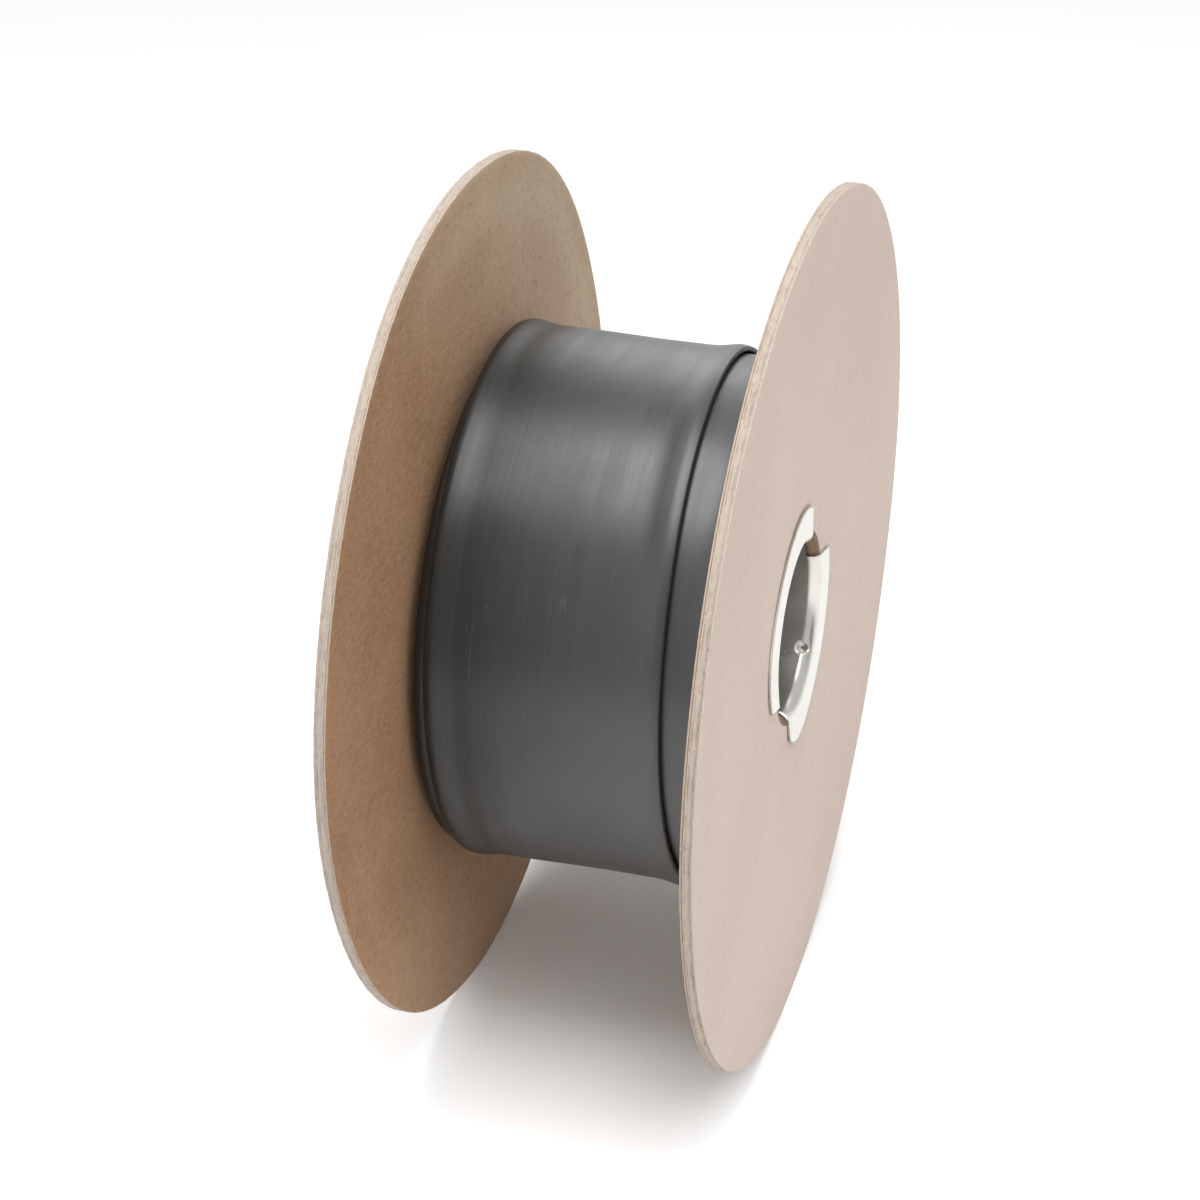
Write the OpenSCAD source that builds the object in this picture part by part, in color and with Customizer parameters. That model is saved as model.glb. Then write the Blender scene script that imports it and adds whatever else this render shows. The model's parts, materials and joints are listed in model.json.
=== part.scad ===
// Board spool that carries a wide, lay-flat plastic tubing.
//
// The spool's axis is Y, the front end is +Y and Z is up. The origin is on the axis, midway
// between the flanges. Each section is drawn as [radius, height] and turned about the axis, with
// the height running towards the front. A clock angle is measured in degrees from the top,
// clockwise as seen from in front of the spool.

/* [Flanges] */
// Diameter of both flanges
flange_d = 203.2; // [170:0.1:254]
// Width over the rims
rim_width = 80.8; // [78:0.1:90]
// Width over the flat hubs, which sit a little deeper than the rims
hub_width = 76.2; // [75:0.1:78]
// Diameter of the flat hub in the middle of each flange
hub_d = 80; // [76:0.5:100]
// Thickness of a whole flange
flange_t = 2.7; // [2:0.1:3.5]
// Thickness of the liner on each side of a flange
liner_t = 0.5; // [0.3:0.05:0.8]

/* [Drum] */
// Outer diameter of the board tube between the flanges
drum_d = 70; // [60:0.5:74]
// Wall of the board tube
drum_wall = 4; // [2:0.5:6]

/* [Centre tube] */
// Bore of the steel tube, which takes a 38.1 mm spindle
bore_d = 39; // [38.2:0.1:40]
// Thickness of the sheet
sheet_t = 0.45; // [0.3:0.05:0.6]
// Diameter over the flared lugs
lug_d = 61; // [54:0.5:66]
// Radius of the bend between the tube and a lug, on the board's side
bend_r = 0.35; // [0.2:0.05:0.8]
// Depth of the slots between the lugs, from the lugs' outer face
slot_depth = 2.5; // [1.5:0.1:3.5]
// Width of the butt seam along the tube
seam_w = 0.3; // [0.1:0.05:0.5]
// Diameter of a staking dimple, inside the bore
dimple_d = 2.5; // [2:0.1:3]
// Depth of a staking dimple
dimple_depth = 0.8; // [0.5:0.1:1]

/* [Tubing] */
// Width of the tubing when it lies flat
tubing_w = 53.8; // [48:0.1:53.8]
// Thickness of the flat tubing, which is both of its walls
tubing_t = 1; // [0.6:0.05:1.04]
// Distance from one turn to the next
pitch = 1.06; // [1.05:0.01:1.2]
// Whole turns on the drum
turns = 25; // [5:1:25]
// How far the turns wander from side to side
wander = 5.6; // [0:0.1:5.6]

/* [Tapes] */
// Thickness of both tapes
tape_t = 0.2; // [0.1:0.05:0.3]
// Width of both tapes
tape_w = 24; // [15:1:30]

/* [Hidden] */
$fn = 128;
flange_r = flange_d / 2;
hub_r = hub_d / 2;
hub_s = hub_width / 2;
rim_s = rim_width / 2;
flange_board_t = flange_t - 2 * liner_t;

drum_r = drum_d / 2;
drum_s = hub_s - flange_t;

bore_r = bore_d / 2;
tube_r = bore_r + sheet_t;
lug_r = lug_d / 2;
lug_s = hub_s + sheet_t;
// The bend's centre, and its radius on the side away from the board.
bend_centre_r = tube_r + bend_r;
bend_s = hub_s - bend_r;
mouth_r = bend_r + sheet_t;
tube_gap = 0.1;
board_bore_r = tube_r + tube_gap;
past = 2;

// Each slot's clock angles: where it starts and ends at the bore, and at the lugs' outer edge.
SLOTS = [
    [[31, 60], [16, 77]],
    [[208, 236], [196, 254]]
];
seam_clock = 222;
dimple_clocks = [132, 312];
dimple_s = 36;
// A dimple is a sphere's cap with this radius.
dimple_r = (pow(dimple_d / 2, 2) + pow(dimple_depth, 2)) / (2 * dimple_depth);
dimple_centre_r = bore_r + dimple_depth - dimple_r;

wind_r = drum_r + tape_t;
tubing_edge = 0.3;
wander_turns = 2.5;
wander_crest = 1.375;
wander_mean = -2.6;
tape_arc = 24;
tape_slope = 3;
tape_steps = 16;

// Point at a radius and a clock angle, in the plane across the axis.
function at_clock(r, clock) = [-r * sin(clock), -r * cos(clock)];

// Points of an arc about a centre, from one angle to another.
function arc(centre, r, from, to, steps = 6) =
    [for (i = [0 : steps]) let (a = from + (to - from) * i / steps)
        centre + r * [cos(a), sin(a)]];

// The same outline on the other side of the middle, in reverse so that the outline goes on.
function mirrored(points) =
    [for (i = [len(points) - 1 : -1 : 0]) [points[i].x, -points[i].y]];

// Sideways position of the tubing, this many turns before its outer end.
function sideways(turns_left) =
    wander_mean + wander * cos(360 * (turns_left - wander_crest) / wander_turns);

// Lays the Z axis along the spool's axis.
module on_axis() {
    rotate([-90, 0, 0]) children();
}

module turned(profile) {
    on_axis() rotate_extrude() polygon(profile);
}

// A ring sector with a flat section, round an axis that passes through the origin.
module sector(profile, from, angle) {
    rotate([0, 0, from]) rotate_extrude(angle = angle) polygon(profile);
}

module dimple_balls(r) {
    on_axis()
        for (clock = dimple_clocks, end = [-1, 1])
            translate(concat(at_clock(dimple_centre_r, clock), end * dimple_s)) sphere(r);
}

// One ply of the front flange, between two depths below its outer face. The hub is flat, and
// the rest is a shallow cone out to the rim. The bore's edge is eased where the steel bends.
module flange_ply(depth, ply_t, eased = false) {
    top = hub_s - depth;
    rise = rim_s - hub_s;
    ease = eased ? bend_r + tube_gap : 0;
    difference() {
        turned([
            [board_bore_r, top - ply_t],
            [hub_r, top - ply_t],
            [flange_r, top - ply_t + rise],
            [flange_r, top + rise],
            [hub_r, top],
            [board_bore_r + ease, top],
            [board_bore_r, top - ease]
        ]);
        dimple_balls(dimple_r + sheet_t + tube_gap / 2);
    }
}

module front_outer_liner() {
    color("#d4c4b8") flange_ply(0, liner_t, eased = true);
}

module front_board() {
    color("#b9a893") flange_ply(liner_t, flange_board_t);
}

module front_inner_liner() {
    color("#96785f") flange_ply(liner_t + flange_board_t, liner_t);
}

module back_outer_liner() {
    color("#d4c4b8") mirror([0, 1, 0]) flange_ply(0, liner_t, eased = true);
}

module back_board() {
    color("#b9a893") mirror([0, 1, 0]) flange_ply(liner_t, flange_board_t);
}

module back_inner_liner() {
    color("#96785f") mirror([0, 1, 0]) flange_ply(liner_t + flange_board_t, liner_t);
}

module drum_tube() {
    drum_bore_r = drum_r - drum_wall;
    color("#a88a6c")
        turned([
            [drum_bore_r, -drum_s],
            [drum_r, -drum_s],
            [drum_r, drum_s],
            [drum_bore_r, drum_s]
        ]);
}

// The tube's outside with both flares, as a solid.
module flared_outside() {
    half = concat(
        arc([bend_centre_r, bend_s], bend_r, 180, 90),
        [[lug_r, hub_s], [lug_r, lug_s], [0, lug_s]]
    );
    turned(concat(mirrored(half), half));
}

// The bore and its rounded mouths.
module flared_bore() {
    half = concat(
        arc([bend_centre_r, bend_s], mouth_r, 180, 90),
        [[bend_centre_r, lug_s + past], [0, lug_s + past]]
    );
    turned(concat(mirrored(half), half));
}

// The V-shaped space between two lugs at the front end, with straight edges.
module lug_slot(slot) {
    root = slot[0];
    tip = slot[1];
    root_a = at_clock(bore_r, root[0]);
    root_b = at_clock(bore_r, root[1]);
    tip_a = at_clock(lug_r, tip[0]);
    tip_b = at_clock(lug_r, tip[1]);
    reach = 0.3;
    on_axis()
        translate([0, 0, lug_s - slot_depth])
            linear_extrude(slot_depth + past)
                polygon([
                    root_a - reach * (tip_a - root_a),
                    tip_a + reach * (tip_a - root_a),
                    at_clock(2 * lug_r, (tip[0] + tip[1]) / 2),
                    tip_b + reach * (tip_b - root_b),
                    root_b - reach * (tip_b - root_b)
                ]);
}

// One sheet rolled into a tube with a butt seam. Each end is slotted and flared over the boards.
module centre_tube() {
    color("#d9dad6")
        difference() {
            union() {
                flared_outside();
                dimple_balls(dimple_r + sheet_t);
            }
            flared_bore();
            dimple_balls(dimple_r);
            for (slot = SLOTS) {
                lug_slot(slot);
                mirror([0, 1, 0]) lug_slot(slot);
            }
            on_axis()
                rotate([0, 0, -90 - seam_clock])
                    translate([bore_r - past, -seam_w / 2, -lug_s])
                        cube([sheet_t + 2 * past, seam_w, 2 * lug_s]);
        }
}

// The flat tubing's section at an inner radius: both walls together, with eased edges.
function tubing_section(r) = let (half_w = tubing_w / 2, e = tubing_edge) [
    [r, e - half_w],
    [r + e, -half_w],
    [r + tubing_t - e, -half_w],
    [r + tubing_t, e - half_w],
    [r + tubing_t, half_w - e],
    [r + tubing_t - e, half_w],
    [r + e, half_w],
    [r, half_w - e]
];

// One length of tubing, wound clockwise and outwards from the back. The spiral is made of half
// turns: each lower one is centred on the axis, and each upper one half a pitch to the side, so
// they run into each other. The turns wander sideways, a step at each half turn.
module tubing() {
    color("#55565a")
        on_axis() mirror([0, 1, 0])
            for (half = [0 : 2 * turns - 1]) {
                upper = half % 2;
                turns_left = turns - half / 2 - 1 / 4;
                translate([-upper * pitch / 2, 0, sideways(turns_left)])
                    sector(tubing_section(wind_r + half * pitch / 2), 180 * (upper - 1), 180);
            }
}

// Double-sided tape that holds the tubing's inner end on the drum.
module start_tape() {
    section = [
        [drum_r, -tape_w / 2],
        [wind_r, -tape_w / 2],
        [wind_r, tape_w / 2],
        [drum_r, tape_w / 2]
    ];
    color("#e6dcc0") on_axis() mirror([0, 1, 0]) sector(section, -180, tape_arc);
}

// Tape over the tubing's outer end, with a short slope down to the turn below. Its outline is
// the last turn's surface, then the surface below, and the way back above them.
module tail_tape() {
    low_r = wind_r + (turns - 1) * pitch + tubing_t;
    high_r = low_r + pitch / 2;
    high_centre = [-pitch / 2, 0];
    under = concat(
        arc(high_centre, high_r, 180 - tape_arc, 180, tape_steps),
        arc([0, 0], low_r, 180 + tape_slope, 180 + tape_arc, tape_steps)
    );
    over = concat(
        arc([0, 0], low_r + tape_t, 180 + tape_arc, 180 + tape_slope, tape_steps),
        arc(high_centre, high_r + tape_t, 180, 180 - tape_arc, tape_steps)
    );
    color("#e6dcc0")
        on_axis() mirror([0, 1, 0])
            translate([0, 0, (sideways(1 / 4) + sideways(3 / 4)) / 2])
                linear_extrude(tape_w, center = true)
                    polygon(concat(under, over));
}

front_outer_liner();
front_board();
front_inner_liner();
back_outer_liner();
back_board();
back_inner_liner();
drum_tube();
centre_tube();
tubing();
start_tape();
tail_tape();
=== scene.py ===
"""Looks of the board spool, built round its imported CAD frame.

The spool's axis is Y, the front end is +Y and Z is up. A clock angle is in degrees from the top,
clockwise as seen from in front of the spool, so clock -90 is +X. Everything is in metres.
"""
import json
import math

import bmesh
import bpy
import numpy as np
from mathutils import Matrix, Vector


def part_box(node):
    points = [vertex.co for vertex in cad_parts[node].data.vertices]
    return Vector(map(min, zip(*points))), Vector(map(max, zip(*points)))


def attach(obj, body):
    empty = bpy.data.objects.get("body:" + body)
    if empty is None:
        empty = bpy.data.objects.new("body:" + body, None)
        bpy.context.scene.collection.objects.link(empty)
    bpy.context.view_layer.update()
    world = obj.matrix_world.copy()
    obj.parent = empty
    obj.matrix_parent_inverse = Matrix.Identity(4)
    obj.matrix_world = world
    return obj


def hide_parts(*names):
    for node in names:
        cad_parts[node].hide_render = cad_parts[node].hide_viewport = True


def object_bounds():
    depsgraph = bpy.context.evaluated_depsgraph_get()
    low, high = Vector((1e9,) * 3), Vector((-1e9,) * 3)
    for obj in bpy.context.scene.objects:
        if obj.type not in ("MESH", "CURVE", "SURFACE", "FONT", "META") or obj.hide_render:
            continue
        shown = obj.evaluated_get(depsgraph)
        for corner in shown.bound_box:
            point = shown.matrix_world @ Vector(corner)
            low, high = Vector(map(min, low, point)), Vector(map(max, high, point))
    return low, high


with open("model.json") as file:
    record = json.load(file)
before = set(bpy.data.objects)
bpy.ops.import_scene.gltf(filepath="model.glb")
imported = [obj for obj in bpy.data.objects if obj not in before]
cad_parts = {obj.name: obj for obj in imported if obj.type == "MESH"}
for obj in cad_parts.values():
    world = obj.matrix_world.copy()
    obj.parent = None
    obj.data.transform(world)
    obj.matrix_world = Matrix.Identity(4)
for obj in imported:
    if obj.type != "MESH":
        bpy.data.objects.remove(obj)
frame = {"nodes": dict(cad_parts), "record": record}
CAD_BOX = [list(corner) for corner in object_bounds()]
MM = 0.001

# ---------------------------------------------------------------- sizes, from the frame
BBOX = frame["record"]["size"]["bbox_m"]
FLANGE_R = BBOX[0] / 2
RIM_S = BBOX[1] / 2
BORE_R = frame["record"]["mounts"][0]["dims"]["r_mm"] * MM
LUG_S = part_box("centre_tube")[1].y
LUG_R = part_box("centre_tube")[1].z
DRUM_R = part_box("drum_tube")[1].z
WIND_R = DRUM_R + 0.2 * MM
SHEET_T = 0.45 * MM
HUB_S = LUG_S - SHEET_T
HUB_R = 40 * MM
FLANGE_T = 2.7 * MM
LINER_T = 0.5 * MM
TUBE_GAP = 0.3 * MM
BOARD_BORE_R = BORE_R + SHEET_T + TUBE_GAP
TUBING_W = 53.8 * MM
TUBING_T = 1.0 * MM
PITCH = 1.06 * MM
TURNS = 25


# ---------------------------------------------------------------- mesh helpers
def at_clock(r, clock, s):
    """Points at a radius, a clock angle in degrees and a distance along the axis."""
    a = np.radians(clock)
    return np.stack(np.broadcast_arrays(-r * np.sin(a), s, r * np.cos(a)), axis=-1)


def smooth_step(x):
    x = np.clip(x, 0, 1)
    return x * x * (3 - 2 * x)


def ring_noise(clock, waves, seed):
    """A smooth repeating noise round the spool, about -1 to 1, from a few random waves."""
    draw = np.random.default_rng(seed)
    a = np.radians(clock)
    total = np.zeros_like(a, dtype=float)
    for k in waves:
        total += draw.uniform(0.4, 1.0) * np.sin(k * a + draw.uniform(0, 2 * math.pi))
    return total / math.sqrt(len(waves))


def mesh_piece(name, points, faces, material):
    mesh = bpy.data.meshes.new(name)
    mesh.from_pydata(points.reshape(-1, 3).tolist(), [], faces)
    mesh.update()
    mesh.shade_smooth()
    piece = bpy.data.objects.new(name, mesh)
    bpy.context.scene.collection.objects.link(piece)
    mesh.materials.append(material)
    return piece


def grid_faces(rows, columns, wrap_rows=False, wrap_columns=False, offset=0):
    """Quads of a grid of points, with the last row or column joined to the first if asked."""
    faces = []
    for i in range(rows if wrap_rows else rows - 1):
        j_end = columns if wrap_columns else columns - 1
        a, b = i * columns + offset, ((i + 1) % rows) * columns + offset
        for j in range(j_end):
            k = (j + 1) % columns
            faces.append((a + j, a + k, b + k, b + j))
    return faces


def face_outward(piece):
    """Makes every face's normal point out of the closed piece."""
    work = bmesh.new()
    work.from_mesh(piece.data)
    bmesh.ops.recalc_face_normals(work, faces=work.faces)
    work.to_mesh(piece.data)
    work.free()


def keep_as_piece(piece, replaced):
    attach(piece, "root")
    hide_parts(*replaced)


def apply_modifiers(piece):
    graph = bpy.context.evaluated_depsgraph_get()
    mesh = bpy.data.meshes.new_from_object(piece.evaluated_get(graph))
    piece.modifiers.clear()
    piece.data = mesh


# ---------------------------------------------------------------- material helpers
class Nodes:
    """A new material's nodes, made and linked in short calls."""

    def __init__(self, name):
        self.material = bpy.data.materials.new(name)
        self.material.use_nodes = True
        self.tree = self.material.node_tree
        self.shader = self.tree.nodes["Principled BSDF"]
        self.where = self.new("ShaderNodeTexCoord").outputs["Object"]

    def new(self, kind, **settings):
        node = self.tree.nodes.new(kind)
        for key, value in settings.items():
            setattr(node, key, value)
        return node

    def plug(self, socket, value):
        if hasattr(value, "is_linked"):
            self.tree.links.new(value, socket)
        else:
            socket.default_value = value

    def stretched(self, scale, turn=(0, 0, 0)):
        node = self.new("ShaderNodeMapping")
        self.plug(node.inputs["Vector"], self.where)
        node.inputs["Scale"].default_value = scale
        node.inputs["Rotation"].default_value = turn
        return node.outputs["Vector"]

    def place(self):
        """The x, y and z of the point that is shaded."""
        node = self.new("ShaderNodeSeparateXYZ")
        self.plug(node.inputs[0], self.where)
        return node.outputs

    def noise(self, scale, detail=4, rough=0.55, where=None):
        node = self.new("ShaderNodeTexNoise")
        self.plug(node.inputs["Vector"], self.where if where is None else where)
        node.inputs["Scale"].default_value = scale
        node.inputs["Detail"].default_value = detail
        node.inputs["Roughness"].default_value = rough
        return node.outputs["Fac"]

    def cells(self, scale):
        node = self.new("ShaderNodeTexVoronoi")
        self.plug(node.inputs["Vector"], self.where)
        node.inputs["Scale"].default_value = scale
        return node.outputs["Distance"], node.outputs["Color"]

    def span(self, value, low, high, to_low=0.0, to_high=1.0):
        node = self.new("ShaderNodeMapRange")
        node.interpolation_type = "SMOOTHSTEP"
        self.plug(node.inputs["Value"], value)
        node.inputs["From Min"].default_value = low
        node.inputs["From Max"].default_value = high
        node.inputs["To Min"].default_value = to_low
        node.inputs["To Max"].default_value = to_high
        return node.outputs["Result"]

    def maths(self, how, a, b):
        node = self.new("ShaderNodeMath", operation=how)
        self.plug(node.inputs[0], a)
        self.plug(node.inputs[1], b)
        return node.outputs[0]

    def mix(self, factor, a, b, how="MIX"):
        node = self.new("ShaderNodeMix", data_type="RGBA", blend_type=how)
        self.plug(node.inputs[0], factor)
        self.plug(node.inputs[6], a if hasattr(a, "is_linked") else (*a, 1))
        self.plug(node.inputs[7], b if hasattr(b, "is_linked") else (*b, 1))
        return node.outputs[2]

    def bump(self, height, distance):
        node = self.new("ShaderNodeBump")
        node.inputs["Distance"].default_value = distance
        node.inputs["Strength"].default_value = 1.0
        self.plug(node.inputs["Height"], height)
        return node.outputs["Normal"]

    def finish(self, color, roughness, normal=None, metallic=0.0, specular=0.5):
        self.plug(self.shader.inputs["Base Color"], color)
        self.plug(self.shader.inputs["Roughness"], roughness)
        self.shader.inputs["Metallic"].default_value = metallic
        self.shader.inputs["Specular IOR Level"].default_value = specular
        if normal is not None:
            self.plug(self.shader.inputs["Normal"], normal)
        return self.material


def specks(n, scale, radius, share):
    """Small dots, one in the middle of some of the cells of a random pattern."""
    distance, random = n.cells(scale)
    rare = n.new("ShaderNodeSeparateColor")
    n.plug(rare.inputs[0], random)
    dot = n.span(distance, radius * 0.4, radius, 1, 0)
    return n.maths("MULTIPLY", dot, n.span(rare.outputs[0], 1 - share, 1.02 - share))


def add_paper(n, color, light, fleck, fibre_turn, relief, contrast):
    """Finishes a paper: long fibres, flecks and a fine tooth over its colour."""
    fibres = n.noise(1, 6, 0.65, n.stretched((420, 700, 1300), (0, fibre_turn, 0)))
    tooth = n.noise(1500, 3, 0.6)
    blotches = n.noise(620, 3, 0.6)
    color = n.mix(n.span(fibres, 0.35, 0.75, 0.0, 0.25 * contrast), color, light)
    color = n.mix(n.span(blotches, 0.48, 0.72, 0.0, 0.12 * contrast), color, fleck)
    color = n.mix(n.maths("MULTIPLY", specks(n, 160, 0.07, 0.02 * contrast), 0.6), color, fleck)
    color = n.mix(n.maths("MULTIPLY", specks(n, 700, 0.3, 0.06 * contrast), 0.3), color, light)
    height = n.maths("ADD", n.maths("MULTIPLY", fibres, 0.7), n.maths("MULTIPLY", tooth, 0.5))
    rough = n.span(blotches, 0.3, 0.7, 0.78, 0.9)
    return n.finish(color, rough, n.bump(height, relief), specular=0.25)


def outer_paper_material():
    """Pinkish tan kraft on the outsides of the flanges, clean and even."""
    n = Nodes("pinkish_tan_liner")
    clouds = n.span(n.noise(16, 5), 0.3, 0.7)
    color = n.mix(clouds, (0.51, 0.418, 0.362), (0.55, 0.453, 0.397))
    return add_paper(n, color, (0.64, 0.535, 0.47), (0.32, 0.235, 0.18), 0.1, 0.00007, 1.0)


def inner_paper_material():
    """Brown kraft on the insides, with painted light and shade: lighter and less red towards the
    top, away from the camera, as painted light, and darker brown lower down as painted shade.

    A lighter ring near the rim is painted light, and the lowest part is a lighter brown, also
    painted light.
    """
    n = Nodes("brown_kraft_liner")
    x, _, z = n.place()
    # Painted light and shade: lighter towards the top and back, darker brown as painted shade
    # lower down.
    toward_top = n.maths("SUBTRACT", n.maths("MULTIPLY", z, 0.85), n.maths("MULTIPLY", x, 0.75))
    uneven = n.maths("MULTIPLY", n.maths("SUBTRACT", n.noise(22, 4), 0.5), 0.05)
    painted_light_share = n.span(n.maths("ADD", toward_top, uneven), 0.010, 0.105)
    square = n.maths("ADD", n.maths("MULTIPLY", x, x), n.maths("MULTIPLY", z, z))
    radius = n.maths("SQRT", square, 0)
    # Painted light: a lighter ring near the rim, outside the painted shade.
    ring = n.maths("MULTIPLY", n.span(radius, 0.084, 0.090), n.span(radius, 0.0925, 0.098, 1, 0))
    clouds = n.span(n.noise(30, 5), 0.3, 0.7)
    brown = n.mix(clouds, (0.295, 0.166, 0.088), (0.345, 0.20, 0.109))
    painted_lit_beige = n.mix(clouds, (0.43, 0.325, 0.225), (0.48, 0.37, 0.265))
    color = n.mix(painted_light_share, brown, painted_lit_beige)
    # Painted light: the lowest part is a lighter brown.
    low = n.span(z, -0.030, -0.098, 0, 1)
    color = n.mix(low, color, n.mix(clouds, (0.40, 0.255, 0.158), (0.45, 0.29, 0.185)))
    painted_rim_light = n.maths("MULTIPLY", ring, n.span(painted_light_share, 0, 1, 0.04, 0.4))
    color = n.mix(painted_rim_light, color, (0.52, 0.42, 0.31))
    return add_paper(n, color, (0.46, 0.34, 0.23), (0.12, 0.07, 0.04), 0.35, 0.00016, 1.7)


def cut_board_material():
    """The cut edge of fibreboard: fibrous, layered, with dark pits, and painted darker and browner
    in the bore as shade.
    """
    n = Nodes("cut_fibreboard")
    layers = n.noise(1, 5, 0.7, n.stretched((420, 2600, 420)))
    grain = n.noise(800, 5, 0.75)
    clouds = n.noise(45, 4)
    pits = n.noise(1, 4, 0.7, n.stretched((340, 900, 340)))
    color = n.mix(n.span(layers, 0.25, 0.75), (0.38, 0.317, 0.264), (0.475, 0.407, 0.348))
    color = n.mix(n.span(grain, 0.52, 0.7, 0, 0.6), color, (0.27, 0.21, 0.165))
    color = n.mix(n.span(pits, 0.60, 0.72, 0, 0.65), color, (0.17, 0.13, 0.10))
    color = n.mix(n.span(clouds, 0.35, 0.7, 0, 0.35), color, (0.47, 0.405, 0.35))
    # Painted shade: darker and browner deep in the bore.
    length = n.new("ShaderNodeVectorMath", operation="LENGTH")
    n.plug(length.inputs[0], n.where)
    color = n.mix(n.span(length.outputs["Value"], 0.05, 0.08, 1, 0), color, (0.20, 0.135, 0.085))
    height = n.maths("ADD", layers, n.maths("MULTIPLY", grain, 0.8))
    return n.finish(color, 0.92, n.bump(height, 0.00025), specular=0.2)


# The part across the winding where painted light turns the tubing greyer towards the front,
# against painted shade from the back flange towards the back; it turns glossier across the same
# part.
SHADE_TO_LIGHT_SPAN = (-0.030, 0.022)


def tubing_material():
    """Black polyolefin with a satin skin, drawn lines along its length, scuffs and dust, and
    painted light that makes it greyer towards the front.
    """
    n = Nodes("satin_black_tubing")
    lines = n.noise(1, 4, 0.6, n.stretched((14, 1900, 14)))
    bands = n.noise(1, 3, 0.5, n.stretched((9, 260, 9)))
    clouds = n.noise(60, 5)
    scuffs = n.noise(1, 5, 0.7, n.stretched((90, 420, 90), (0.3, 0.5, 0.2)))
    along = n.place()[1]
    # Painted light: greyer towards the front; the dark back part is painted shade from the back
    # flange.
    painted_front_light = n.span(along, *SHADE_TO_LIGHT_SPAN)
    color = n.mix(bands, (0.004, 0.004, 0.0038), (0.010, 0.0098, 0.0095))
    painted_lit_grey = n.mix(bands, (0.011, 0.0109, 0.0106), (0.022, 0.0217, 0.0212))
    color = n.mix(painted_front_light, color, painted_lit_grey)
    color = n.mix(n.span(lines, 0.5, 0.8, 0, 0.25), color, (0.05, 0.05, 0.049))
    color = n.mix(n.span(scuffs, 0.6, 0.8, 0, 0.3), color, (0.10, 0.10, 0.098))
    dust = n.maths("MULTIPLY", specks(n, 300, 0.05, 0.025), 0.6)
    color = n.mix(dust, color, (0.4, 0.4, 0.38))
    rough = n.maths("ADD", n.span(clouds, 0.3, 0.7, 0.29, 0.36), n.span(bands, 0.3, 0.7, 0, 0.07))
    rough = n.maths("ADD", rough, n.span(lines, 0.3, 0.7, 0, 0.05))
    height = n.maths("ADD", lines, n.maths("MULTIPLY", clouds, 0.6))
    n.finish(color, rough, n.bump(height, 0.00003))
    # Glossier towards the front across the same part, standing in for the back flange's shade on
    # the glints.
    gloss = n.span(along, *SHADE_TO_LIGHT_SPAN, 0.52, 0.88)
    n.plug(n.shader.inputs["Specular IOR Level"], gloss)
    return n.material


def tinplate_material():
    """Bright tinned steel with faint rolling lines, fine scratches and dull patches."""
    n = Nodes("bright_tinplate")
    lines = n.noise(1, 4, 0.6, n.stretched((2600, 60, 2600)))
    patches = n.noise(90, 4)
    scratches = n.noise(1, 3, 0.7, n.stretched((300, 4200, 900), (0.4, 0.7, 0.1)))
    color = n.mix(n.span(patches, 0.35, 0.7), (0.57, 0.555, 0.515), (0.65, 0.635, 0.60))
    rough = n.maths(
        "ADD", n.span(patches, 0.3, 0.7, 0.26, 0.32), n.span(scratches, 0.6, 0.75, 0, 0.06)
    )
    height = n.maths("ADD", lines, n.maths("MULTIPLY", scratches, 0.8))
    return n.finish(color, rough, n.bump(height, 0.000012), metallic=0.93)


def tape_material():
    """Cream masking tape: crepe wrinkles across its length."""
    n = Nodes("cream_crepe_tape")
    crepe = n.noise(1, 4, 0.6, n.stretched((900, 120, 900)))
    clouds = n.noise(120, 4)
    color = n.mix(n.span(clouds, 0.3, 0.7), (0.60, 0.52, 0.35), (0.70, 0.62, 0.44))
    color = n.mix(n.span(crepe, 0.5, 0.75, 0, 0.3), color, (0.50, 0.42, 0.27))
    return n.finish(color, n.span(crepe, 0.3, 0.7, 0.5, 0.65), n.bump(crepe, 0.00008))


def drum_material():
    """A spirally wound board tube: ply seams run round it at a slant."""
    n = Nodes("spiral_wound_board")
    wave = n.new("ShaderNodeTexWave", wave_type="BANDS", bands_direction="Y")
    n.plug(wave.inputs["Vector"], n.stretched((0.35, 1, 0.35), (0.2, 0, 0.2)))
    wave.inputs["Scale"].default_value = 11
    wave.inputs["Distortion"].default_value = 0.4
    seams = n.span(wave.outputs["Fac"], 0.0, 0.04, 1, 0)
    fibres = n.noise(1, 6, 0.65, n.stretched((300, 1200, 300)))
    color = n.mix(n.span(fibres, 0.3, 0.7), (0.30, 0.20, 0.12), (0.40, 0.28, 0.18))
    color = n.mix(n.maths("MULTIPLY", seams, 0.5), color, (0.16, 0.10, 0.06))
    return n.finish(color, 0.88, n.bump(fibres, 0.0001), specular=0.2)


OUTER_PAPER = outer_paper_material()
INNER_PAPER = inner_paper_material()
CUT_BOARD = cut_board_material()
TUBING = tubing_material()
TINPLATE = tinplate_material()
TAPE = tape_material()
DRUM_BOARD = drum_material()


# ---------------------------------------------------------------- flanges
# The boards are bent a little out of true. Each wave is (how many times it goes up and down round
# the rim, its height in millimetres at the rim, a clock angle where it is highest to the front).
FRONT_WARP = ((0, 0.10, 0), (1, 0.80, 29), (2, 0.30, 40))
BACK_WARP = (
    (0, 0.20, 0), (1, 0.77, -115), (2, 0.27, 24), (3, 0.25, 2), (4, 0.19, 22), (5, 0.24, 18)
)
RIM_SEGMENTS = 720
# The rounding of a ply's edges, and how deep the torn grooves round the rim get.
PLY_CORNER = 0.18 * MM
GROOVE_DEPTH = 0.45 * MM
# Where a ply's wall in the bore has its rings, as shares of its thickness from the far side.
WALL_STEPS = (0.12, 0.25, 0.4, 0.55, 0.7, 0.85, 1.0)
# The inner radius of the bend where the centre tube's lugs turn out over the flanges.
BEND_R = 2.4 * MM


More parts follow.
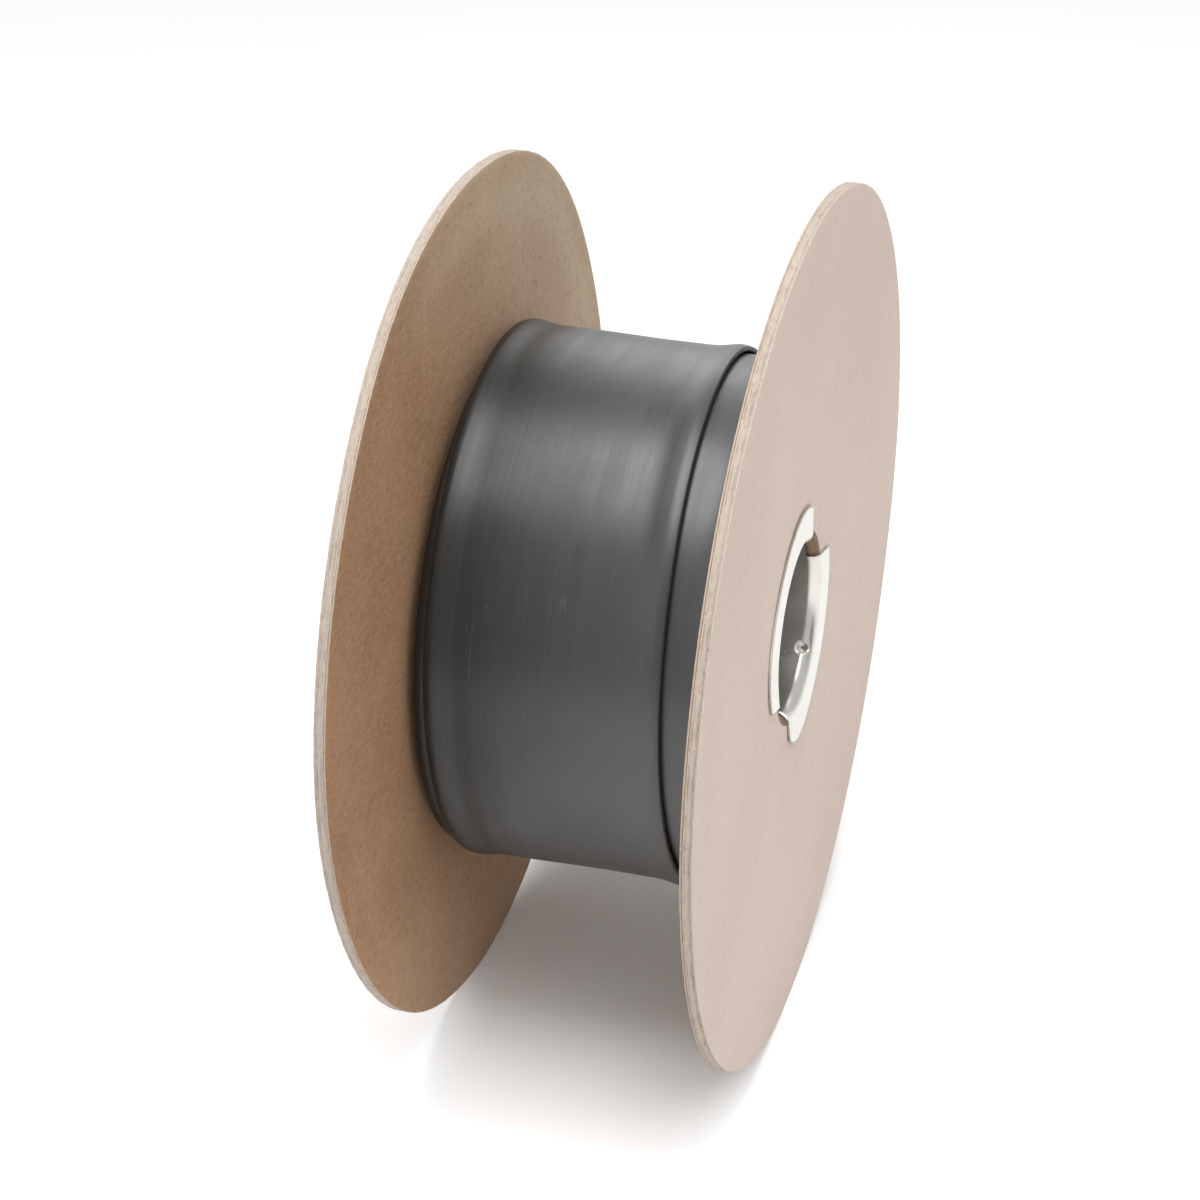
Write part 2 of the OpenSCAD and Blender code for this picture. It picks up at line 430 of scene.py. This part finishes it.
def flange_warp(r, clock, warp):
    """How far the flange's surface moves towards the front."""
    steady = smooth_step((r - LUG_R) / (HUB_R - LUG_R))
    far_out = np.clip((r - HUB_R) / (FLANGE_R - HUB_R), 0, 1)
    move = 0.04 * MM * ring_noise(clock, (5, 7, 11), len(warp)) * far_out**2
    for order, height, toward in warp:
        shape = r / FLANGE_R * steady if order == 1 else far_out**1.5
        move = move + height * MM * np.cos(np.radians(order * (clock - toward))) * shape
    return move


def cone_s(r, depth):
    """The front flange's surface at a depth below its outer face: a flat hub and a cone."""
    far_out = np.clip((r - HUB_R) / (FLANGE_R - HUB_R), 0, None)
    return HUB_S - depth + (RIM_S - HUB_S) * far_out


def rim_profile(ply_t, grooves, corner):
    """(distance in from the ply's outer face, how far the rim is cut back), down the rim."""
    steps = [0, 0.15, 0.4, 0.7, 1.0]
    fall = [(corner * (1 - math.sqrt(1 - (1 - x) ** 2)), corner * x) for x in steps]
    rows = [(depth, back) for back, depth in fall]
    for middle, width in grooves:
        rows += [(middle - width, 0.0), (middle, 1.0), (middle + width, 0.0)]
    rows += [(ply_t - depth, back) for back, depth in reversed(fall)]
    return rows


def crushed(depth):
    """How far the bend of the tube's lugs pushes the board's bore edge back, at a depth."""
    into = max(0.0, BEND_R - depth)
    return max(0.0, BEND_R - math.sqrt(BEND_R**2 - into**2) - 0.05 * MM)


def bore_edge_r(depth):
    """Radius of a ply's face at its bore edge."""
    return BOARD_BORE_R + crushed(depth) + 0.12 * MM


def face_rings():
    """Radii of the rings of points over a ply's face, outside the bore edge."""
    rings = [23.2 * MM, 26 * MM, 31 * MM, 36 * MM, HUB_R - MM, HUB_R, HUB_R + MM]
    shares = (0.08, 0.2, 0.35, 0.5, 0.65, 0.8, 0.92, 0.975)
    return rings + [HUB_R + (FLANGE_R - HUB_R) * x for x in shares]


def rim_rings(clock, ply_t, grooves, seed):
    """(radius round the rim, distance in from the ply's outer face) of each ring of a rim."""
    fuzz = 0.05 * MM * ring_noise(clock, (61, 97, 143, 211, 307), seed)
    drift = 0.10 * MM * ring_noise(clock, (3, 8, 13, 21), seed + 1)
    tears = ring_noise(clock, (9, 23, 41, 67, 101, 149), seed + 2)
    open_up = 0.12 + 1.2 * smooth_step((tears - 0.1) / 0.9)
    top = FLANGE_R - 0.05 * MM + drift * 0.4 + fuzz * 0.8
    rings = []
    for d, back in rim_profile(ply_t, grooves, min(PLY_CORNER, 0.4 * ply_t)):
        cut_back = open_up * GROOVE_DEPTH if back == 1.0 else back
        ragged = 0.08 * MM * ring_noise(clock, (83, 131, 199, 283), seed + int(d * 1e6) % 97)
        rings.append((top + ragged - cut_back, d))
    return rings


def ply_rings(clock, depth, ply_t, grooves, seed):
    """(radius, depth) of each ring round a ply's section, and how many are on the rim."""
    far = depth + ply_t
    rings = [(np.full_like(clock, r), depth) for r in [bore_edge_r(depth)] + face_rings()]
    rim = [(r, depth + d) for r, d in rim_rings(clock, ply_t, grooves, seed)]
    rings += rim
    rings += [(np.full_like(clock, r), far) for r in reversed([bore_edge_r(far)] + face_rings())]
    pull = np.abs(0.05 * MM * ring_noise(clock, (17, 29, 43), seed + 5))
    for x in WALL_STEPS:
        d = depth + ply_t * (1 - x)
        rings.append((BOARD_BORE_R + crushed(d) + pull, d))
    return rings, len(rim)


def flange_ply(node, side, depth, ply_t, warp, materials, seed, grooves):
    """One ply of a flange. side is 1 in front and -1 at the back."""
    clock = np.arange(RIM_SEGMENTS) * 360 / RIM_SEGMENTS
    rings, rim_count = ply_rings(clock, depth, ply_t, grooves, seed)
    points = [
        at_clock(r, clock, side * cone_s(r, d) + flange_warp(r, clock, warp)) for r, d in rings
    ]
    faces = grid_faces(len(rings), RIM_SEGMENTS, wrap_rows=True, wrap_columns=True)
    face_paper, cut = materials
    piece = mesh_piece(f"{node}_skin", np.stack(points), faces, face_paper)
    piece.data.materials.append(cut)
    # The paper's rounded corners keep the paper's look: the cut look starts three rings in.
    first_cut = 1 + len(face_rings())
    last_cut = first_cut + rim_count - 1
    wall_starts = len(rings) - len(WALL_STEPS) - 1
    for i, polygon in enumerate(piece.data.polygons):
        row = i // RIM_SEGMENTS
        on_rim = first_cut + 2 < row < last_cut - 2
        polygon.material_index = 1 if on_rim or row >= wall_starts else 0
    face_outward(piece)
    keep_as_piece(piece, [node])


def make_flange(side, end, warp, seed):
    board_t = FLANGE_T - 2 * LINER_T
    grooves = ((0.30 * MM, 0.07 * MM), (board_t * 0.7, 0.05 * MM))
    plies = (
        ("outer_liner", 0, LINER_T, OUTER_PAPER, ()),
        ("board", LINER_T, board_t, CUT_BOARD, grooves),
        ("inner_liner", LINER_T + board_t, LINER_T, INNER_PAPER, ()),
    )
    for k, (slot, depth, ply_t, paper, cuts) in enumerate(plies):
        node = f"{end}_{slot}"
        looks = (paper, CUT_BOARD)
        flange_ply(node, side, depth, ply_t, warp, looks, seed + 20 * k, cuts)


make_flange(1, "front", FRONT_WARP, 100)
make_flange(-1, "back", BACK_WARP, 200)

# ---------------------------------------------------------------- centre tube
# The two lugs at each end. A lug has two edges, going clockwise, and an edge is its clock angle at
# the bore and at the lug's outer corner. The slots between the lugs end in the tube's wall.
LUGS = (((60.0, 75.5), (208.0, 196.0)), ((236.0, 254.0), (391.0, 376.0)))
SLOTS = ((208.0, 236.0), (391.0, 420.0))
SLOT_FLOOR_S = LUG_S - 2.9 * MM
LUG_COLUMNS = 150
SLOT_COLUMNS = (24, 40)
# The sheet's open seam runs down the middle of the first slot.
SEAM_CLOCK = 222.0
SEAM_HALF_GAP = math.degrees(0.15 * MM / BORE_R)
MID_R = BORE_R + SHEET_T / 2
# Up the tube, the points lie far apart to a first place, then close together from a second one.
COARSE_END_S, FINE_START_S, FINE_STEP = 33.6 * MM, 33.9 * MM, 0.25 * MM
# The lugs' outer edges draw in towards their corners, over so many degrees and by a share of
# their reach that differs from corner to corner.
TIP_SPAN = 30.0
TIP_DRAWS = {16.0: 0.18, 75.5: 0.08, 196.0: 0.33, 254.0: 0.20}
# The staking dimples' places, and their size.
DIMPLES = [(clock, end * 36.1 * MM) for clock in (132.0, 312.0) for end in (1, -1)]
DIMPLE_R = 1.7 * MM
DIMPLE_DEPTH = 0.9 * MM


def edge_clock(r, root, tip):
    """Clock angle at a radius, on the straight cut from the bore out to the lug's tip."""
    a = at_clock(MID_R, root, 0)
    b = at_clock(LUG_R, tip, 0)
    d = b - a
    p, q, w = d @ d, 2 * (a @ d), a @ a - r * r
    x = (-q + math.sqrt(max(q * q - 4 * p * w, 0))) / (2 * p)
    point = a + x * d
    return math.degrees(math.atan2(-point[0], point[2]))


def unwrapped(value, near):
    """The same angle, in the turn nearest to another one."""
    return value + 360 * round((near - value) / 360)


def sheet_path():
    """(radius, distance from the middle, is it past the slot's floor) up the sheet's middle."""
    mid_bend = BEND_R + SHEET_T / 2
    bend_s = HUB_S - BEND_R
    path = [(MID_R, s, False) for s in np.linspace(0, COARSE_END_S, 12)]
    path += [(MID_R, s, False) for s in np.arange(FINE_START_S, SLOT_FLOOR_S, FINE_STEP)]
    path += [(MID_R, SLOT_FLOOR_S, False)]
    path += [(MID_R, s, True) for s in np.linspace(SLOT_FLOOR_S, bend_s, 3)[1:]]
    for a in np.linspace(0, 90, 17)[1:]:
        r = MID_R + mid_bend * (1 - math.cos(math.radians(a)))
        path.append((r, bend_s + mid_bend * math.sin(math.radians(a)), True))
    last_r, last_s = path[-1][:2]
    path += [(r, last_s, True) for r in np.linspace(last_r, LUG_R - 0.1 * MM, 14)[1:]]
    return path


def lug_edge_clock(r, root, tip):
    """Clock angle of a lug's edge at a radius: plain up the tube, then on the straight cut."""
    if r < MID_R + 1e-7:
        return root
    return unwrapped(edge_clock(r, root, tip), root)


def column_clock(column, r):
    """Clock angle at a radius of a column of points: (its kind, which one, share across it)."""
    kind, which, share = column
    if kind == "seam":
        return SEAM_CLOCK + which * SEAM_HALF_GAP
    if kind == "slot":
        first, last = SLOTS[which]
    else:
        first, last = (lug_edge_clock(r, root, tip) for root, tip in LUGS[which])
    return first + (last - first) * share


def sheet_strips():
    """(columns that are joined side by side, is it a lug) in the order that they go round."""
    one, other = (
        [("lug", k, j / LUG_COLUMNS) for j in range(LUG_COLUMNS + 1)] for k in (0, 1)
    )
    seam_side, plain_side = (
        [("slot", k, j / count) for j in range(1, count)] for k, count in enumerate(SLOT_COLUMNS)
    )
    middle = len(seam_side) // 2
    return [
        (one, True),
        ([one[-1]] + seam_side[:middle] + [("seam", -1, 0)], False),
        ([("seam", 1, 0)] + seam_side[middle + 1 :] + [other[0]], False),
        (other, True),
        ([other[-1]] + plain_side + [one[0]], False),
    ]


def sheet_grid():
    """The middle surface of the tube's sheet, before the dimples and the spring of the lugs."""
    work = bmesh.new()
    path = sheet_path()
    strips = sheet_strips()
    made = {}

    def point(i, end, column):
        """The point of a path step at one end, in a column. Both ends share the first step."""
        key = (i, end if i else 0, column)
        if key not in made:
            r, s, _ = path[i]
            made[key] = work.verts.new(at_clock(r, column_clock(column, r), end * s).tolist())
        return made[key]

    for end in (1, -1):
        for i in range(len(path) - 1):
            past_floor = path[i + 1][2]
            for columns, is_lug in strips:
                if past_floor and not is_lug:
                    continue
                for a, b in zip(columns, columns[1:]):
                    corners = ((i, a), (i, b), (i + 1, b), (i + 1, a))
                    work.faces.new([point(step, end, column) for step, column in corners])
    return work


def thicken(piece):
    """Gives the sheet its thickness and rounds its cut edges."""
    solid = piece.modifiers.new("thickness", "SOLIDIFY")
    solid.thickness = SHEET_T
    solid.offset = 0
    solid.use_even_offset = True
    edge = piece.modifiers.new("edge", "BEVEL")
    edge.width = 0.07 * MM
    edge.segments = 2
    edge.limit_method = "ANGLE"
    edge.angle_limit = math.radians(50)
    apply_modifiers(piece)


def centre_tube():
    work = sheet_grid()
    for v in work.verts:
        press(v)
    bmesh.ops.recalc_face_normals(work, faces=work.faces)
    mesh = bpy.data.meshes.new("centre_tube_sheet")
    work.to_mesh(mesh)
    work.free()
    mesh.shade_smooth()
    mesh.materials.append(TINPLATE)
    piece = bpy.data.objects.new("centre_tube_sheet", mesh)
    bpy.context.scene.collection.objects.link(piece)
    thicken(piece)
    piece.data.shade_smooth()
    keep_as_piece(piece, ["centre_tube"])


def clock_gap(a, b):
    """How far one clock angle is past another, between -180 and 180 degrees."""
    return (a - b + 180) % 360 - 180


def press(v):
    """Moves a point of the sheet: the staking dimples go outwards, and the lugs spring up."""
    x, s, z = v.co
    r = math.hypot(x, z)
    clock = math.degrees(math.atan2(-x, z))
    grow = 0.0
    for at, along in DIMPLES:
        d = math.hypot(math.radians(clock_gap(clock, at)) * BORE_R, s - along) / DIMPLE_R
        if d < 1:
            grow += DIMPLE_DEPTH * (1 - d * d) ** 1.3
    gaps = {tip: abs(clock_gap(clock, tip)) for tip in TIP_DRAWS}
    tip = min(gaps, key=gaps.get)
    grow -= TIP_DRAWS[tip] * max(0, 1 - gaps[tip] / TIP_SPAN) ** 2 * max(0, r - MID_R)
    lift = 0.0
    if r > MID_R + MM:
        out = (r - MID_R) / (LUG_R - MID_R)
        lift = 0.22 * MM * out**1.5 + 0.10 * MM * out * math.sin(math.radians(2 * clock + 40))
    k = (r + grow) / r
    v.co = (x * k, s + math.copysign(lift, s), z * k)


centre_tube()

# ---------------------------------------------------------------- tubing
START_CLOCK = 90.0
# Sideways place of the band, in millimetres, at some numbers of turns before its outer end.
SWAY = (
    (0.0, -7.6), (0.22, -7.1), (0.29, -6.1), (0.33, -5.4), (0.39, -4.9), (0.47, -4.3),
    (0.56, -3.6), (0.66, -3.2), (0.85, 0.0), (1.05, 6.2), (1.2, 7.5), (1.7, 7.5),
    (2.0, -1.0), (2.15, -6.0), (2.3, -6.7), (2.65, -6.6), (3.0, -3.0), (3.3, 2.2),
    (3.6, 3.0), (4.0, -1.0),
)
# The raised beads along the two edges of the last turn, back and front: their height, how far in
# from the edge the crest is, and how far in they reach.
BEADS = ((0.75 * MM, 1.8 * MM, 7.4 * MM), (0.9 * MM, 2.3 * MM, 8.4 * MM))
# The turns beneath do not reach all the way across, so the last ones sag there by a share of the
# room, and they pile up a little towards the back.
SETTLE_SHARE = 0.12
SWELL_SLOPE = 0.027
SWELL_LOSS = 0.15 * MM
S_GRID_STEP = 0.5
S_GRID = np.arange(-36, 36.01, S_GRID_STEP) * MM
# How wide the drop is smoothed out, in millimetres.
SETTLE_SOFTNESS = 2.1
# The last turns have more points along them: how many turns, and how many points.
FINE_TURNS, FINE_POINTS = 3.2, 760
# How far the band's rounded edges stand out sideways.
EDGE_REACH = 0.55 * MM


def sway(turns_left):
    """Sideways place of the band. Deep turns, which hide, wander in a plain wave."""
    u = np.asarray(turns_left, float)
    keys = np.array(SWAY)
    near = np.interp(u, keys[:, 0], keys[:, 1])
    for shift in (-0.06, -0.03, 0.03, 0.06):
        near = near + np.interp(u + shift, keys[:, 0], keys[:, 1])
    deep = -1.0 + 4.2 * np.cos(2 * math.pi * (u - 4.0) / 2.7 + 1.5708)
    blend = smooth_step((u - 3.7) / 0.6)
    return ((1 - blend) * near / 5 + blend * deep) * MM


def settle(turns_left, depth=3):
    """How far the band drops, over S_GRID, where turns beneath it are missing."""
    if depth == 0:
        return np.zeros_like(S_GRID)
    support = np.full_like(S_GRID, -2 * PITCH)
    for below in (3, 2, 1):
        covers = np.abs(S_GRID - sway(turns_left + below)) < TUBING_W / 2
        under = settle(turns_left + below, depth - below) if depth > below else 0 * S_GRID
        support = np.where(covers, under - (below - 1) * PITCH, support)
    kernel = np.exp(-0.5 * (np.arange(-12, 13) * S_GRID_STEP / SETTLE_SOFTNESS) ** 2)
    kernel /= kernel.sum()
    return np.convolve(np.pad(support, 12, mode="edge"), kernel, mode="valid")


def bead(d, side, free):
    """Rise of the band's top near an edge, at a distance from it. Buried edges are flattened."""
    height, crest, reach = BEADS[side]
    along = np.clip((reach - d) / (reach - crest), 0, 1)
    ramp = 0.75 * along + 0.25 * smooth_step(along) - 0.15 * np.sin(math.pi * along) * (1 - along)
    over = 1 - 0.45 * np.clip((crest - d) / crest, 0, 1) ** 2
    pinch = 0.25 * MM * (1 - smooth_step(d / (3 * MM)))
    return free * height * ramp * over - (1 - free) * pinch


def swell(s, turns_left):
    """How much more than the plain spiral the last turns stand out, by their place across."""
    come_in = 1 - smooth_step((turns_left - 2) / 10)
    return (SWELL_SLOPE * np.clip(-s, 0, None) - SWELL_LOSS) * come_in


def band_section():
    """Places across the band as distances in from an edge: dense near the edges."""
    near = [0.55, 0.8, 1.1, 1.4, 1.8, 2.3, 2.9, 3.6, 4.4, 5.3, 6.3, 7.4, 9, 12, 16, 21]
    near = np.array(near) * MM
    return np.concatenate([near, [TUBING_W / 2], (TUBING_W - near)[::-1]])


def free_shares(left):
    """How much the band, its back edge and its front edge are free of turns above them."""
    free = 1 - float(smooth_step((left - 0.95) / 0.1))
    second = float(smooth_step((left - 1.8) / 0.2) * (1 - smooth_step((left - 2.85) / 0.15)))
    front = 0.7 * (1 - float(smooth_step((left - 1.6) / 0.2)))
    return free, max(free, 0.9 * second), max(free, front)


def round_edge(upper, lower, direction):
    """Points round an edge of the band, from (s, r) above to (s, r) below."""
    half = (upper[1] - lower[1]) / 2
    angles = np.radians(np.linspace(90, -90, 8)[1:-1])
    edge_s = upper[0] + direction * EDGE_REACH * np.cos(angles)
    return edge_s, (upper[1] + lower[1]) / 2 + half * np.sin(angles)


def band_row(turn, across_top, across_under):
    """One ring of points round the band's section, where this many turns are wound."""
    left = TURNS - turn
    clock = START_CLOCK + 360 * turn
    base = WIND_R + PITCH * max(0.0, turn - 0.25)
    centre = float(sway(left))
    drop = SETTLE_SHARE * settle(left) if left < 3 else np.zeros_like(S_GRID)
    free, free_back, free_front = free_shares(left)
    stretch = 1 - 0.018 * free

    def surface(d, bead_share):
        s = centre + (d - TUBING_W / 2) * stretch
        beads = bead(d, 0, free_back) + bead(TUBING_W - d, 1, free_front)
        return s, base + np.interp(s, S_GRID, drop) + bead_share * beads + swell(s, left)

    s_top, r_top = surface(across_top, 1.0)
    flutter = 0.05 * MM * math.sin(math.radians(3.1 * clock) + 40 * float(np.mean(s_top)))
    r_top = r_top + TUBING_T + flutter
    s_under, r_under = surface(across_under[::-1], 0.55)
    front_s, front_r = round_edge((s_top[-1], r_top[-1]), (s_under[0], r_under[0]), 1)
    back_s, back_r = round_edge((s_top[0], r_top[0]), (s_under[-1], r_under[-1]), -1)
    ring_s = np.concatenate([s_top, front_s, s_under, back_s[::-1]])
    ring_r = np.concatenate([r_top, front_r, r_under, back_r[::-1]])
    return at_clock(ring_r, clock, ring_s)


def make_tubing():
    across_top = band_section()
    across_under = across_top[::3]
    if across_under[-1] != across_top[-1]:
        across_under = np.append(across_under, across_top[-1])
    inner = np.arange(0, TURNS - FINE_TURNS, 1 / 60)
    outer = np.linspace(TURNS - FINE_TURNS, TURNS - 0.001, FINE_POINTS)
    rows = [band_row(t, across_top, across_under) for t in np.concatenate([inner, outer])]
    points = np.stack(rows)
    count = points.shape[1]
    faces = grid_faces(len(rows), count, wrap_columns=True)
    faces.append(tuple(range(count))[::-1])
    faces.append(tuple((len(rows) - 1) * count + j for j in range(count)))
    piece = mesh_piece("tubing_winding", points, faces, TUBING)
    face_outward(piece)
    keep_as_piece(piece, ["tubing"])


make_tubing()


# The tape over the tubing's outer end, its reach to each side of the end in degrees, and the
# hair of air under it.
TAPE_W = 24 * MM
TAPE_T = 0.2 * MM
TAPE_REACH = 24
TAPE_LIFT = 0.03 * MM


def slab_faces(rows, columns):
    """Faces of a closed slab: a grid on top, the same grid beneath and a border round them."""
    count = rows * columns
    faces = grid_faces(rows, columns)
    faces += [f[::-1] for f in grid_faces(rows, columns, offset=count)]
    border = list(range(columns))
    border += [i * columns + columns - 1 for i in range(1, rows)]
    border += [(rows - 1) * columns + j for j in range(columns - 2, -1, -1)]
    border += [i * columns for i in range(rows - 2, 0, -1)]
    for a, b in zip(border, border[1:] + border[:1]):
        faces.append((b, a, a + count, b + count))
    return faces


def make_tail_tape():
    """Tape over the tubing's outer end, pressed down on the band and on the turn below."""
    middle = float(sway(0.1) + sway(0.9)) / 2
    clocks = np.linspace(START_CLOCK - TAPE_REACH, START_CLOCK + TAPE_REACH, 97)
    across = np.linspace(-TAPE_W / 2, TAPE_W / 2, 25)
    top, under = [], []
    for clock in clocks:
        past = clock - START_CLOCK
        on_band = WIND_R + PITCH * (TURNS - 0.25 + past / 360) + TUBING_T
        r = on_band - PITCH * smooth_step((past + 0.3) / 3.0)
        crepe = 0.02 * MM * np.sin(across * 900 + clock * 1.7)
        s = middle + across * (1 + 0.004 * math.sin(clock * 2.1))
        top.append(at_clock(r + TAPE_T + np.abs(crepe) + TAPE_LIFT, clock, s))
        under.append(at_clock(np.full_like(s, r + TAPE_LIFT), clock, s))
    points = np.concatenate([np.stack(top), np.stack(under)])
    faces = slab_faces(len(clocks), len(across))
    piece = mesh_piece("tail_tape_strip", points, faces, TAPE)
    face_outward(piece)
    keep_as_piece(piece, ["tail_tape"])


make_tail_tape()

# The drum and the start tape are inside the winding. Their CAD shapes stay, with better looks.
for node, material in (("drum_tube", DRUM_BOARD), ("start_tape", TAPE)):
    mesh = frame["nodes"][node].data
    mesh.materials.clear()
    mesh.materials.append(material)


# ---------------------------------------------------------------- floor, light and camera
FLOOR_HALF = 3.0


def make_floor():
    """A white floor under the spool, a little greyer far out towards the camera."""
    n = Nodes("white_sweep")
    shade = n.span(n.noise(3, 2), 0.3, 0.7)
    color = n.mix(shade, (0.93, 0.93, 0.93), (0.95, 0.95, 0.95))
    color = n.mix(n.span(n.place()[0], 0.3, 1.5), color, (0.80, 0.80, 0.80))
    material = n.finish(color, 0.9, specular=0.2)
    signs = ((-1, -1, 0), (1, -1, 0), (1, 1, 0), (-1, 1, 0))
    corners = FLOOR_HALF * np.array(signs)
    floor = mesh_piece("floor", corners + (0, 0, CAD_BOX[0][2]), [(0, 1, 2, 3)], material)


# The studio's even light, and patches of its walls: their direction, how many degrees out they
# start and are full, and what they add to the light.
STUDIO_LIGHT = 0.75
SKY_PATCHES = (
    ((0.70, -0.58, 0.42), 28, 10, 0.6),
    ((0.15, 0.98, 0.12), 24, 12, -0.6),
)


def sky_patch(tree, where, toward, start, full, amount):
    """What a patch adds to the light, by the direction that is looked at."""
    dot = tree.nodes.new("ShaderNodeVectorMath")
    dot.operation = "DOT_PRODUCT"
    dot.inputs[1].default_value = Vector(toward).normalized()
    tree.links.new(where, dot.inputs[0])
    ramp = tree.nodes.new("ShaderNodeMapRange")
    ramp.interpolation_type = "SMOOTHSTEP"
    ramp.inputs["From Min"].default_value = math.cos(math.radians(start))
    ramp.inputs["From Max"].default_value = math.cos(math.radians(full))
    ramp.inputs["To Max"].default_value = amount
    tree.links.new(dot.outputs["Value"], ramp.inputs["Value"])
    return ramp.outputs["Result"]


def make_world():
    """An even white studio, with a brighter patch at the camera's left and a dark one in front."""
    world = bpy.data.worlds.new("studio")
    bpy.context.scene.world = world
    world.use_nodes = True
    tree = world.node_tree
    where = tree.nodes.new("ShaderNodeTexCoord").outputs["Generated"]
    strength = tree.nodes.new("ShaderNodeValue").outputs[0]
    strength.default_value = STUDIO_LIGHT
    for patch in SKY_PATCHES:
        total = tree.nodes.new("ShaderNodeMath")
        tree.links.new(sky_patch(tree, where, *patch), total.inputs[0])
        tree.links.new(strength, total.inputs[1])
        strength = total.outputs[0]
    light = tree.nodes["Background"]
    tree.links.new(strength, light.inputs["Strength"])
    light.inputs["Color"].default_value = (1.0, 1.0, 1.0, 1)


def add_softbox(name, place, aim, size, power, glints=True, lights=True):
    """A square lamp. It can be kept out of the glints, or out of the plain light."""
    data = bpy.data.lights.new(name, "AREA")
    data.shape = "RECTANGLE"
    data.size, data.size_y = size
    data.energy = power
    lamp = bpy.data.objects.new(name, data)
    bpy.context.scene.collection.objects.link(lamp)
    lamp.location = place
    lamp.visible_glossy, lamp.visible_diffuse = glints, lights
    lamp.rotation_euler = (Vector(place) - Vector(aim)).to_track_quat("Z", "Y").to_euler()


# The camera stands in front and to the right: its bearing from +X towards +Y, its height angle,
# and where the spool's middle lies from it, in flange radii to the right, down and away.
CAMERA_BEARING = math.radians(16.73)
CAMERA_DIP = math.radians(28.02)
MIDDLE_IN_VIEW = (0.0893, 0.0125, 6.1113)
LENS_MM = 79.95
SENSOR_MM = 36


def make_camera():
    ahead = Vector((math.cos(CAMERA_BEARING), math.sin(CAMERA_BEARING), 0))
    right = Vector((-math.sin(CAMERA_BEARING), math.cos(CAMERA_BEARING), 0))
    z = Vector((0, 0, 1))
    back = ahead * math.cos(CAMERA_DIP) + z * math.sin(CAMERA_DIP)
    up = z * math.cos(CAMERA_DIP) - ahead * math.sin(CAMERA_DIP)
    x, down, away = (v * FLANGE_R for v in MIDDLE_IN_VIEW)
    data = bpy.data.cameras.new("camera")
    data.lens = LENS_MM
    data.sensor_width = SENSOR_MM
    data.clip_start = 0.01
    camera = bpy.data.objects.new("camera", data)
    bpy.context.scene.collection.objects.link(camera)
    place = Matrix((right, up, back)).transposed().to_4x4()
    place.translation = -right * x + up * down + back * away
    camera.matrix_world = place
    bpy.context.scene.camera = camera


make_floor()
make_world()
add_softbox("key_softbox", (0.165, -0.03, 0.9), (0.165, -0.03, 0), (0.66, 0.56), 6.4)
add_softbox("front_fill", (0.5, 0.42, 1.0), (0, 0, 0), (0.8, 0.8), 6.5, glints=False)
add_softbox("back_card", (-1.1, -0.28, 0.62), (0, 0, 0.05), (1.1, 0.75), 5.0, lights=False)
make_camera()
bpy.context.scene.view_settings.view_transform = "Standard"
